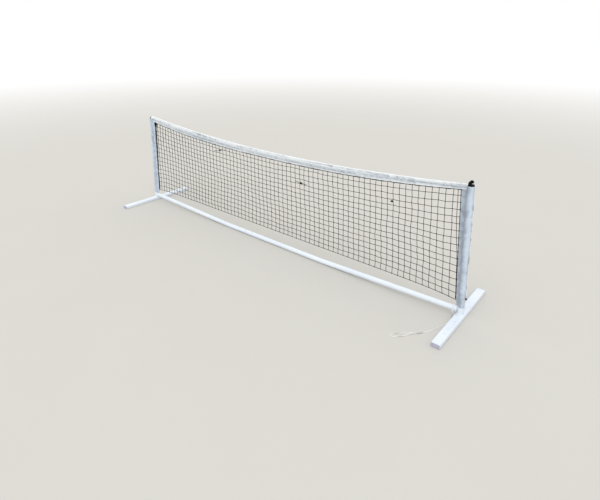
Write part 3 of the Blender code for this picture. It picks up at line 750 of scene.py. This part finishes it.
def wraps(centres, lean, size, turns=1.6, points=14, stretch=0.0019):
    """Paths of short coils round many places, and the ways outward from them. lean is the turn of each coil's
    axis in the net's plane, from +X towards +Z."""
    t = np.linspace(0, 1, points)
    axis = np.stack([np.cos(lean), np.zeros_like(lean), np.sin(lean)], axis=-1)
    up = np.stack([-np.sin(lean), np.zeros_like(lean), np.cos(lean)], axis=-1)
    turn = (2 * math.pi * turns * t)[None, :, None]
    radial = np.cos(turn) * up[:, None] + np.sin(turn) * BACK
    along = ((t - 0.5) * stretch * turns)[None, :, None]
    return centres[:, None] + radial * size + axis[:, None] * along, radial


def bunched(columns):
    """Second and third strands of the columns towards the left post, which open towards their tops."""
    first = columns[:BUNCHED]
    open_by = ramp(first[..., 2], 0.25, 0.75) * np.linspace(1, 0, BUNCHED)[:, None] ** 0.5
    out = open_by * (0.0042 + 0.0022 * value_noise(first[..., 0] / 0.020, first[..., 2] / 0.050, 18))
    second = first.copy()
    second[..., 0] += out
    second[..., 1] -= open_by * 0.0030
    third = second.copy()
    third[..., 0] = first[..., 0] - out + open_by * 0.0015
    third[..., 1] += open_by * 0.0055
    return second, third


def top_twines():
    """The two twines that the meshes hang from, just under the tape."""
    x = np.linspace(-NET_HALF, -side_line_x(-1, FLANGE_TOP), 900)
    paths = []
    for face, seed in ((-1, 19), (1, 20)):
        drop = 0.0035 + 0.0012 * value_noise(x / 0.020, 0.0, seed)
        paths.append(np.stack([x, np.full_like(x, 0.0020 * face), tape_bottom(x) - drop], axis=1))
    return paths


def right_selvage():
    """The netting's own edge beside the right side line, which it nears towards its foot."""
    top = tape_bottom(side_line_x(1, FLANGE_TOP) - SELVAGE_INSET) - TOP_DROP
    z = np.linspace(net_bottom(NET_HALF) + 0.004, top, 150)
    inset = SELVAGE_INSET * np.maximum(ramp(z, 0.30, 0.55), 0.15)
    x = side_line_x(1, z) - inset + 0.0012 * value_noise(z / 0.05, 0.0, 23)
    return [np.stack([x, np.zeros_like(z), z], axis=1)]


def make_netting(places):
    """The columns in front of the rows, their added strands, and the netting's own top and right edges."""
    columns = between(places[1:-1], 0.0011, 31)
    rows = between(places.transpose(1, 0, 2)[1:-1], 0.0013, 41)
    columns[..., 1] -= 0.45 * TWINE_RADIUS
    columns[..., 2] = np.minimum(columns[..., 2], tape_bottom(columns[..., 0]) - TOP_DROP)
    rows[..., 1] += 0.45 * TWINE_RADIUS
    parts = [tubes(paths, BACK, TWINE_RADIUS, 6) for paths in (columns, rows)]
    parts += [tubes(paths, BACK, SLACK_RADIUS, 6) for paths in bunched(columns)]
    parts += [tubes(paths, BACK, TWINE_RADIUS, 6) for paths in (top_twines(), right_selvage())]
    twine_piece("net_twine", *joined(parts), "net_mesh")


def make_knots(places):
    """A coiled knot at each crossing, leaning one way or the other."""
    inside = places[1:-1, 1:-1].reshape(-1, 3)
    draw = np.random.default_rng(5)
    lean = np.where(draw.random(len(inside)) < 0.5, 0.8, -0.8) + draw.normal(0, 0.25, len(inside))
    paths, radial = wraps(inside, lean, 0.00225)
    twine_piece("net_knots", *tubes(paths, radial, 0.00125, 5))


def make_edge_ties(places):
    """Coils that tie the net to its bottom line and its side lines."""
    edges = (
        (places[1:-1, 0], 0.0, BOTTOM_LINE_RADIUS),
        (places[0, 1:-1], math.pi / 2, EDGE_LINE_RADIUS),
        (places[-1, 1:-1], math.pi / 2, EDGE_LINE_RADIUS),
    )
    ties = []
    for centres, lean, radius in edges:
        paths, radial = wraps(centres, np.full(len(centres), lean), radius + 0.0006, turns=2.4, points=20)
        ties.append(tubes(paths, radial, 0.0008, 5))
    twine_piece("net_edge_ties", *joined(ties))


def make_edge_lines():
    x = np.linspace(-NET_HALF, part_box("net_mesh")[1].x, 400)
    route = np.stack([x, np.zeros_like(x), net_bottom(x)], axis=1)
    line = mesh_piece("bottom_edge_line", *twisted(route, BOTTOM_LINE_RADIUS, 0.012))
    dressed(line, edge_twine, "net", "black_cord", "bottom_line")
    for side, label in SIDES:
        low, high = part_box(f"{label}_side_line")
        z = np.linspace(low.z, high.z, 60)
        route = np.stack([side_line_x(side, z), np.zeros_like(z), z], axis=1)
        line = mesh_piece(f"{label}_edge_line", *twisted(route, EDGE_LINE_RADIUS, 0.016))
        dressed(line, edge_twine, "net", "black_cord", f"{label}_side_line")


def make_left_selvage():
    """Twine gathered along the left side line, widest at the top."""
    count, steps = 10, 150
    low, high = 0.110, 0.766
    k = np.arange(count)[:, None]
    z = np.linspace(low, high, steps)[None]
    width = 0.007 + 0.016 * ramp(z, low, high) ** 1.3
    wander = value_noise(z / 0.060, k * 1.7, 51) * 0.0032 + value_noise(z / 0.018, k * 2.3, 52) * 0.0012
    x = side_line_x(-1, z) + 0.0026 + width * k / (count - 1) + wander * (z - 0.100) / 0.3
    y = value_noise(z / 0.050, k * 1.3 + 40, 53) * 0.0040
    paths = np.stack(np.broadcast_arrays(x, y, z), axis=-1)
    twine_piece("left_selvage_twine", *tubes(paths, BACK, 0.00105, 5))


net_places = net_nodes()
make_netting(net_places)
make_knots(net_places)
make_edge_ties(net_places)
make_edge_lines()
make_left_selvage()


# -------- the head tape


SEAM_SHARE = 0.52  # of the tape's depth, where the head line's channel is sewn off
HEM_SEAM = 0.0065  # from the tape's lower edge
TAPE_LEFT_X = -1.509  # where the tape ends over the left cap
TAPE_RIGHT_X = 1.5035  # and where it ends round the right sleeve
TAPE_MIDDLE = 1.485  # the stretch between the finer ends goes this far both ways
ARC = 0.14  # share of each face that goes round the fold at the top
CREASE_X, CREASE_Z = 1.4630, 0.8050  # where the crease across the right end starts
CREASE_SLOPE = 0.56

# Over the left cap, by distance from the post's axis towards the outside: the cloth's top and lower edge
COVER_OUT = (-0.0300, -0.0200, -0.0120, -0.0060)
COVER_TOP = (0.8255, 0.8262, 0.8256, 0.8248)
COVER_LOW = (0.7755, 0.7830, 0.7885, 0.7925)
# The inside of the cover, by height
COVER_HEIGHT = (0.8030, 0.8095, 0.8136, 0.8168, 0.8190, 0.8205, 0.8218, 0.8230)
COVER_RADIUS = (0.0210, 0.0190, 0.0172, 0.0150, 0.0115, 0.0080, 0.0045, 0.0)
# How far the cloth opens round the head line near the posts, and up to what height, by distance from the
# post's axis
OPEN_OUT = (-0.0290, -0.0262, -0.0234, -0.0208, -0.0170, -0.0145, -0.0040)
OPEN_LEFT = (0.0043, 0.0046, 0.0060, 0.0080, 0.0113, 0.0130, 0.0120)
OPEN_LEFT_TOP = (0.8270, 0.8265, 0.8255, 0.8245, 0.8225, 0.8205, 0.8160)
OPEN_RIGHT = (0.0043, 0.0046, 0.0062, 0.0083, 0.0119, 0.0150, 0.0150)
OPEN_RIGHT_TOP = 0.8105
# The heights over which it opens, from below
OPEN_LEFT_FOOT = (0.790, 0.800)
OPEN_RIGHT_FOOT = (0.785, 0.797)


def cloth_edges(x):
    """The heights of the head tape's fold and of its lower edge."""
    out = -(x + POST_X)
    over_cap = out > COVER_OUT[0]
    top = np.where(over_cap, np.interp(out, COVER_OUT, COVER_TOP), tape_top(x))
    low = np.where(over_cap, np.interp(out, COVER_OUT, COVER_LOW), tape_bottom(x))
    return top, low


def tape_half(depth, deep):
    """Half the tape's thickness at a depth below its fold, before its wrinkles."""
    seam = SEAM_SHARE * deep
    hem = deep - HEM_SEAM
    channel = FOLD_RADIUS * (1 - 0.78 * ramp(depth, FOLD_RADIUS, seam) ** 1.3)
    strip = 0.0010 + 0.0011 * np.sin(ramp(depth, seam, hem) * math.pi)
    below = 0.0010 + 0.0006 * ramp(depth, hem, hem + 0.003)
    return np.where(depth < seam, channel, np.where(depth < hem, strip, below))


def end_half(x, z):
    """How far the cloth is held open over the left cap, round the sleeves' tops and round the head line."""
    left = -(x + POST_X)
    right = x - POST_X
    radius = np.interp(z, COVER_HEIGHT, COVER_RADIUS)
    cover = np.sqrt(np.maximum(radius**2 - left**2, 0))
    closed = np.interp(left, OPEN_OUT, OPEN_LEFT_TOP)
    line = np.interp(left, OPEN_OUT, OPEN_LEFT) * np.sqrt(ramp(closed - z, 0, 0.004))
    line = line * ramp(z, *OPEN_LEFT_FOOT)
    at_left = np.where(left > OPEN_OUT[0], np.maximum(cover, line), 0)

    wrap = np.sqrt(np.maximum(COVER_RADIUS[0] ** 2 - right**2, 0))
    line = np.interp(right, OPEN_OUT, OPEN_RIGHT) * np.sqrt(ramp(OPEN_RIGHT_TOP - z, 0, 0.0025))
    line = line * ramp(z, *OPEN_RIGHT_FOOT)
    at_right = np.where(right > OPEN_OUT[0], np.maximum(wrap, line), 0)
    return np.maximum(at_left, at_right)


def face_noise(face, u, v, seed):
    """Noise that differs between the tape's two faces."""
    return np.where(face < 0, value_noise(u, v, seed), value_noise(u, v, seed + 50))


def tape_rise(x, face, depth, deep):
    """The tape's wrinkles: slanting gathers from the head line and long folds, flatter at the seams."""
    seam = SEAM_SHARE * deep
    pinch = 1 - 0.75 * bell(depth - seam, 0.0035) - 0.6 * bell(depth - deep + HEM_SEAM, 0.003)
    slant = x + face * 0.35 * depth
    gather = face_noise(face, slant / 0.021, depth / 0.030, 71) * 0.0013
    gather = gather + face_noise(face, slant / 0.0085, depth / 0.016, 72) * 0.0006
    longer = face_noise(face, x / 0.16, depth / 0.0095, 73) * 0.0020
    return (gather + longer * np.where(depth < seam, 1.0, 0.35)) * pinch


def tape_shade(x, face, depth, deep, rise, crease):
    """The tape's painted shade: darker in the hollows, along the two seams, in a streaky band that wanders
    along its lower half, at its right end and in the crease across it."""
    near_top = ramp(depth, 0, 0.010)
    fold = np.clip(0.08 - rise / 0.0022, 0, 1) * near_top
    fold = np.maximum(fold, 0.75 * bell(depth - SEAM_SHARE * deep, 0.0022))
    fold = np.maximum(fold, 0.45 * bell(depth - deep + HEM_SEAM, 0.0014))
    # A streaky band of painted shade along the lower half, darker towards the right.
    middle = 0.64 + 0.10 * face_noise(face, x / 0.30, 0.0, 75)
    dark = 0.92 + 0.30 * face_noise(face, x / 0.12, 0.5, 76) + 0.20 * ramp(x, 0.90, 1.10)
    streaks = 0.84 + 0.42 * face_noise(face, (x + face * 0.9 * depth) / 0.012, depth / 0.030, 77)
    fold = np.maximum(fold, dark * streaks * bell(depth / deep - middle, 0.15))
    fold = np.maximum(fold, 0.55 * ramp(x, 1.480, 1.492) * near_top)
    return np.clip(np.maximum(fold, 0.7 * crease), 0, 1)


def tape_point(x, p):
    """A place on the tape's outer face, and the painted shade there. p runs from -1, its front lower edge,
    over the fold at 0, to 1, its back lower edge."""
    x, p = np.broadcast_arrays(np.asarray(x, float), np.asarray(p, float))
    face = np.where(p < 0, -1.0, 1.0)
    share = np.abs(p)
    top, low = cloth_edges(x)
    deep = tape_top(x) - tape_bottom(x)
    uneven = 0.0012 * value_noise(x / 0.045, 0.5, 61) + 0.0010 * value_noise(x / 0.016, 0.5, 62)
    reach = top - low + uneven * (np.abs(x) < 1.48)
    turn = ramp(share, 0, ARC) * math.pi / 2
    down = FOLD_RADIUS + ramp(share, ARC, 1) * (reach - FOLD_RADIUS)
    depth = np.where(share < ARC, FOLD_RADIUS * (1 - np.cos(turn)), down)
    half = np.where(share < ARC, FOLD_RADIUS * np.sin(turn), tape_half(depth, deep))
    half = half + 0.0009 * ramp(np.abs(x), 1.455, 1.465) * ramp(depth, 0.020, 0.030)
    opened = np.maximum(end_half(x, top - depth), half)
    calm = 1 - 0.7 * ramp(opened - half, 0, 0.002)
    half = np.where(share < ARC, half, opened)
    near_top = ramp(depth, 0, 0.010)
    rise = tape_rise(x, face, depth, deep) * near_top * calm
    lift = 0.0008 * value_noise(x / 0.030, 0.0, 74) * (1 - near_top)
    off_crease = top - depth - CREASE_Z + (x - CREASE_X) * CREASE_SLOPE
    crease = bell(off_crease, 0.0022) * ramp(x, 1.455, 1.465)
    place = np.stack([x, face * (half + rise - 0.0006 * crease), top - depth + lift], axis=-1)
    return place, tape_shade(x, face, depth, deep, rise, crease)


def make_tape():
    left = np.linspace(TAPE_LEFT_X, -TAPE_MIDDLE, 64)
    middle = np.linspace(-TAPE_MIDDLE, TAPE_MIDDLE, 632)
    right = np.linspace(TAPE_MIDDLE, TAPE_RIGHT_X, 24)
    x = np.concatenate([left, middle[1:-1], right])[:, None]
    side = np.concatenate([np.linspace(0, ARC, 5), np.linspace(ARC, 1, 19)[1:]])
    p = np.concatenate([-side[::-1], side[1:]])[None]
    points, fold = tape_point(x, p)
    tape = cloth_grid("head_tape_cloth", points)
    painted_shade_attribute(tape, fold)
    thicken(tape, 0.0007)
    dressed(tape, tape_cloth, "net", "white_fabric", "head_tape")

    along = np.linspace(-1.476, 1.488, 600)
    top, low = cloth_edges(along)
    deep = top - low
    rows = []
    for face in (-1, 1):
        for depth in (SEAM_SHARE * deep, deep - HEM_SEAM):
            share = ARC + (1 - ARC) * (depth - FOLD_RADIUS) / (deep - FOLD_RADIUS)
            line, _ = tape_point(along, face * share)
            line[:, 1] += face * 0.0004
            rows.append(stitches(line, (0.0, face, 0.0), 0.0042, 0.00042))
    dressed(mesh_piece("head_tape_stitching", *joined(rows)), sewing, "net", "white_fabric")


make_tape()


# -------- the sleeves


SLEEVE_FACE = SLEEVE_RADIUS - 0.0006
FLANGE_SHARE = 0.26  # of the way from the flange's edge to the outermost place
TUCK_TOP = 0.786  # of the flange's end inside the tape
TUCK_WIDTH = 0.0032
# Painted shade round the tube, by degrees from the flange, lightest where the light falls on it
SHADE_TURN = (0, 50, 65, 89, 108, 125, 141, 159, 180)
SHADE = (0.98, 0.98, 0.84, 0.56, 0.30, 0.10, 0.0, 0.26, 0.46)
LEFT_SHADE = 0.30  # how much of it the left sleeve has


def sleeve_point(side, z, q):
    """A place on a sleeve's outer face, and the painted shade there. q runs from 0, the flange's front edge,
    round the post, to 1, the flange's back edge."""
    z, q = np.broadcast_arrays(np.asarray(z, float), np.asarray(q, float))
    face = np.where(q < 0.5, -1.0, 1.0)
    share = 1 - np.abs(2 * q - 1)  # 0 at the flange's edge, 1 at the outermost place
    tucked = ramp(z, FLANGE_TOP - 0.007, FLANGE_TOP - 0.001)  # where the flange goes up inside the tape
    narrowing = 1 - ramp(z, TUCK_TOP - 0.010, TUCK_TOP) ** 2
    width = TUCK_WIDTH + (flange_width(side, z) - TUCK_WIDTH) * narrowing
    along = ramp(share, 0, FLANGE_SHARE)
    out_flange = -(SLEEVE_FACE + width) + width * along
    back_flange = (0.0011 + 0.0012 * np.sin(along * math.pi) ** 2) * (1 - 0.6 * tucked)
    start = math.radians(7)
    turn = start + (math.pi - start) * ramp(share, FLANGE_SHARE, 1)
    # Wrinkles round the tube: slanting drag lines, strongest towards the top, and a softer unevenness.
    u = turn / math.pi
    drag = value_noise(z / 0.020 + face * 1.6 * u, u * 2.2 + face, 81 + (side > 0)) * 0.0011
    fine = value_noise(z / 0.008 + face * 1.1 * u, u * 4.0 + face, 83) * 0.00045
    slack = value_noise(z / 0.10, u * 1.7 + face, 85 + (side > 0)) * 0.0010
    strength = 0.55 + 0.75 * bell(z - 0.66, 0.10)
    rise = (drag * strength + fine + slack) * np.clip(u * 5, 0, 1) * (1 - 0.6 * tucked)
    rise = np.maximum(rise, -0.0012)
    hem = 0.0005 * (np.abs(z - SLEEVE_BOTTOM) < 0.011) + 0.0004 * (np.abs(z - SLEEVE_TOP) < 0.008)
    radius = SLEEVE_FACE + rise + hem
    out_tube = -radius * np.cos(turn)
    back_tube = radius * np.sin(turn) + 0.0011 * (1 - np.clip(u * 6, 0, 1))
    on_flange = share < FLANGE_SHARE
    wave = value_noise(z / 0.045, 0.3, 87) * 0.0022 * (1 - along) * (1 - tucked)
    crease = value_noise(z / 0.017, along * 1.5, 89) * 0.0005 * (1 - tucked)
    out = np.where(on_flange, out_flange, out_tube)
    back = face * np.where(on_flange, back_flange + crease, back_tube) + np.where(on_flange, wave, 0)
    # Painted shade: by the turn round the tube, in the wrinkles' hollows (lighter on their ridges) and across
    # the flange.
    shade_strength = 1.0 if side > 0 else LEFT_SHADE
    round_tube = np.interp(np.degrees(turn), SHADE_TURN, SHADE) * shade_strength
    fold = np.clip(round_tube + 0.55 * np.clip(-rise / 0.0016, -0.5, 1), 0, 1)
    fold = np.where(on_flange, (0.70 + 0.28 * along**3) * shade_strength - 0.30 * crease / 0.0005, fold)
    place = np.stack([side * (POST_X + out), back, z], axis=-1)
    return place, np.clip(fold, 0, 1)


def make_sleeve(side, label):
    z = np.concatenate([np.linspace(SLEEVE_BOTTOM, 0.762, 150), np.linspace(0.764, SLEEVE_TOP, 22)])
    half = np.concatenate([np.linspace(0, FLANGE_SHARE, 8), np.linspace(FLANGE_SHARE, 1, 21)[1:]]) / 2
    q = np.concatenate([half, 1 - half[-2::-1]])
    points, fold = sleeve_point(side, z[:, None], q[None])
    if side < 0:
        points, fold = points[:, ::-1], fold[:, ::-1]
    sleeve = cloth_grid(f"{label}_sleeve_cloth", points)
    painted_shade_attribute(sleeve, fold)
    thicken(sleeve, 0.0006)
    dressed(sleeve, sleeve_cloth, "net", "white_fabric", f"{label}_sleeve")

    rows = []
    heights = np.linspace(SLEEVE_BOTTOM + 0.004, FLANGE_TOP - 0.012, 165)
    for face in (-1, 1):
        for share in (0.215, 0.03):
            at = share / 2 if face < 0 else 1 - share / 2
            line, _ = sleeve_point(side, heights, at)
            line[:, 1] += face * 0.0004
            rows.append(stitches(line, (0.0, face, 0.0), 0.0037, 0.00040))
    round_post = np.linspace(0.14, 0.86, 28)
    for height in (SLEEVE_BOTTOM + 0.0095, SLEEVE_TOP - 0.0068):
        line, _ = sleeve_point(side, np.full(28, height), round_post)
        outward = unit(line - np.array([side * POST_X, 0.0, height]))
        rows.append(stitches(line + outward * 0.0004, outward, 0.0032, 0.00040))
    dressed(mesh_piece(f"{label}_sleeve_stitching", *joined(rows)), sewing, "net", "white_fabric")


def make_lashings(side, label):
    """A loop of twine at each row that ties the edge line to the sleeve's flange."""
    heights = net_places[-1 if side > 0 else 0, 1:-1, 2]
    t = np.linspace(0, 2 * math.pi, 14, endpoint=False)
    paths, normals = [], []
    for k, height in enumerate(heights):
        outer = POST_X - SLEEVE_FACE - float(flange_width(side, height)) + 0.0042
        inner = side * float(side_line_x(side, height)) - EDGE_LINE_RADIUS - 0.0009
        slope = 0.0022 * math.sin(5.0 * k)
        x = side * ((inner + outer) / 2 + (outer - inner) / 2 * np.cos(t))
        paths.append(np.stack([x, 0.0031 * np.sin(t), height + 0.003 + slope * np.cos(t)], axis=1))
        normals.append(np.stack([side * np.cos(t), np.sin(t), np.zeros_like(t)], axis=1))
    twine_piece(f"{label}_lashings", *tubes(paths, np.array(normals), 0.0007, 5, closed=True))


for side, label in SIDES:
    make_sleeve(side, label)
    make_lashings(side, label)


# -------- tangles and mends in the net


def tangle(name, centre, spread, count, seed, radius):
    """Loose turns of twine bunched round a place."""
    draw = np.random.default_rng(seed)
    knots = draw.normal(0, 1, (count, 3)) * np.array(spread) / 2 + np.array(centre)
    path, _ = even(smooth_route(knots, 6), 0.003)
    twine_piece(name, *one_tube(path, BACK, radius, 6))


tangle("corner_bunch", (-1.459, -0.003, 0.757), (0.017, 0.006, 0.019), 60, 3, 0.0012)


def mend(name, centre, reach, drop, seed):
    """A mended mesh: extra twine bound along a row, with a lump of knots in its middle."""
    count = 9
    front = -0.002
    draw = np.random.default_rng(seed)
    x = np.linspace(-reach, reach, count)
    y = front + draw.normal(0, 0.0008, count)
    z = centre[1] + drop * x / reach + draw.normal(0, 0.0015, count)
    path, _ = even(smooth_route(np.stack([centre[0] + x, y, z], axis=1), 5), 0.003)
    lumps = np.array([[centre[0] + d, front, centre[1] + drop * d / reach] for d in (-0.004, 0.0, 0.004)])
    paths, radial = wraps(lumps, draw.normal(0.3, 0.7, 3), 0.0042, turns=2.6, points=24, stretch=0.0024)
    parts = [one_tube(path, BACK, 0.0017, 6), tubes(paths, radial, 0.0018, 6)]
    twine_piece(name, *joined(parts))


mend("middle_mend", (0.322, 0.5590), 0.052, -0.0050, 21)
mend("right_mend", (1.047, 0.5995), 0.008, 0.0, 22)
mend("left_mend", (-0.547, 0.6540), 0.070, 0.0160, 23)


# -------- the steel


def make_weld(side, label):
    """The weld that fixes the socket on the foot: a rippled bead round its base."""
    count = 168
    t = 2 * math.pi * np.arange(count) / count
    outward = np.stack([np.cos(t), np.sin(t), np.zeros(count)], axis=1)
    path = np.array([side * POST_X, 0.0, FOOT_TOP + 0.0006]) + (SOCKET_RADIUS + 0.0004) * outward
    size = 0.0019 * (0.86 + 0.14 * np.abs(np.sin(21 * t))) + 0.0002 * value_noise(t * 4, 0.0, 95)
    points, faces = tubes(path[None], outward[None], size[:, None], 10, closed=True)
    points[:, 2] = np.maximum(points[:, 2], FOOT_TOP - 0.0002)
    dressed(mesh_piece(f"{label}_socket_weld", points, faces), steel, "base", "white_steel")


for side, label in SIDES:
    make_weld(side, label)

SLOT_OF = {part["node"]: part["material_slot"] for part in frame["record"]["subparts"]}
for name, piece in frame["nodes"].items():
    piece.data.materials.clear()
    piece.data.materials.append(CAD_MATERIALS[SLOT_OF[name]])


# -------- floor and light


FLOOR_REACH = 60.0
corners = [(x * FLOOR_REACH, y * FLOOR_REACH, 0.0) for x, y in ((-1, -1), (1, -1), (1, 1), (-1, 1))]
floor = mesh_piece("studio_floor", corners, [(0, 1, 2, 3)])
floor.data.materials.append(floor_material())

world = bpy.data.worlds.new("studio")
bpy.context.scene.world = world
world.use_nodes = True
background = world.node_tree.nodes["Background"]
background.inputs["Color"].default_value = (1.0, 1.0, 1.0, 1.0)
background.inputs["Strength"].default_value = 1.0

overhead = bpy.data.lights.new("overhead", "SUN")
overhead.energy = 0.8
overhead.angle = math.radians(70)
lamp = placed("overhead", overhead)
lamp.rotation_mode = "QUATERNION"
lamp.rotation_quaternion = Vector((-1.2, 2.2, -4.0)).to_track_quat("-Z", "Y")
bpy.context.scene.view_settings.view_transform = "Standard"
